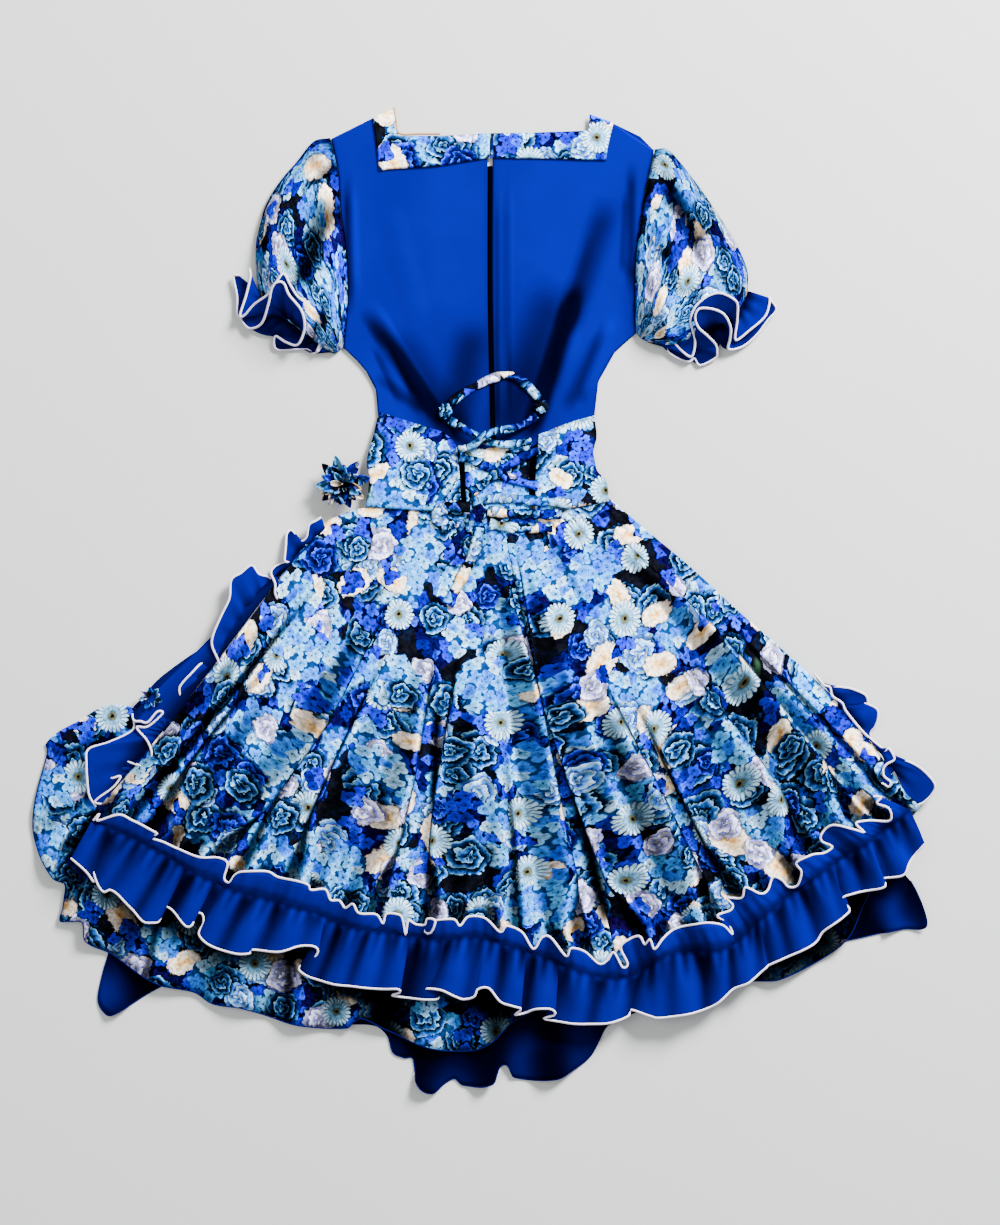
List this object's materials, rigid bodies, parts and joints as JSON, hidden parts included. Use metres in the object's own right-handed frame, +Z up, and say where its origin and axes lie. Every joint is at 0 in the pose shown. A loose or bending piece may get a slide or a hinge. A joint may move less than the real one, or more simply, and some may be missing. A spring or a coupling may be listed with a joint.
{
  "type": "cueca dress",
  "caption": "Folk dance dress laid flat: puff sleeves, laced waist, wide tiered circle skirt with frilled edges.",
  "frame": {"origin": "on the surface that the dress lies on, under the middle of its length and width", "axes": "+Z up from the surface towards the back of the dress, +Y along the dress towards the neck, +X towards the right as seen from above"},
  "size_m": [1.0303, 1.1256, 0.0307],
  "materials": {
    "blue_cloth": "matt",
    "floral_cloth": "matt",
    "zip": "matt"
  },
  "bodies": {
    "root": {"bodice_front": "blue_cloth", "bodice_back_left": "blue_cloth", "bodice_back_right": "blue_cloth", "zip": "zip", "neck_band_left": "floral_cloth", "neck_band_right": "floral_cloth", "waist_front": "floral_cloth", "waist_back_left": "floral_cloth", "waist_back_right": "floral_cloth", "waist_back_centre": "floral_cloth", "lace_loop": "floral_cloth", "lace_cross_a": "floral_cloth", "lace_cross_b": "floral_cloth", "lace_cross_c": "floral_cloth", "lace_cross_d": "floral_cloth", "lace_waist_upper": "floral_cloth", "lace_waist_lower": "floral_cloth", "bow_loop_left": "floral_cloth", "bow_loop_right": "floral_cloth", "bow_tail_short": "floral_cloth", "bow_tail_long": "floral_cloth", "knot_left": "floral_cloth", "knot_right": "floral_cloth", "bow_knot": "floral_cloth", "sleeve_left": "floral_cloth", "sleeve_right": "floral_cloth", "sleeve_ruffle_left": "blue_cloth", "sleeve_ruffle_left_under": "blue_cloth", "sleeve_ruffle_right": "blue_cloth", "sleeve_ruffle_right_under": "blue_cloth", "skirt_front": "floral_cloth", "skirt_back_left": "floral_cloth", "skirt_back_right": "floral_cloth", "hem_ruffle": "blue_cloth", "side_ruffle_left": "blue_cloth", "side_ruffle_right": "blue_cloth", "middle_tier_front": "floral_cloth", "middle_tier_back": "floral_cloth", "under_skirt_front": "blue_cloth", "under_skirt_back": "blue_cloth", "under_ruffle": "blue_cloth", "hip_flower_outer": "floral_cloth", "hip_flower_inner": "floral_cloth", "side_flower": "floral_cloth"}
  },
  "joints": []
}
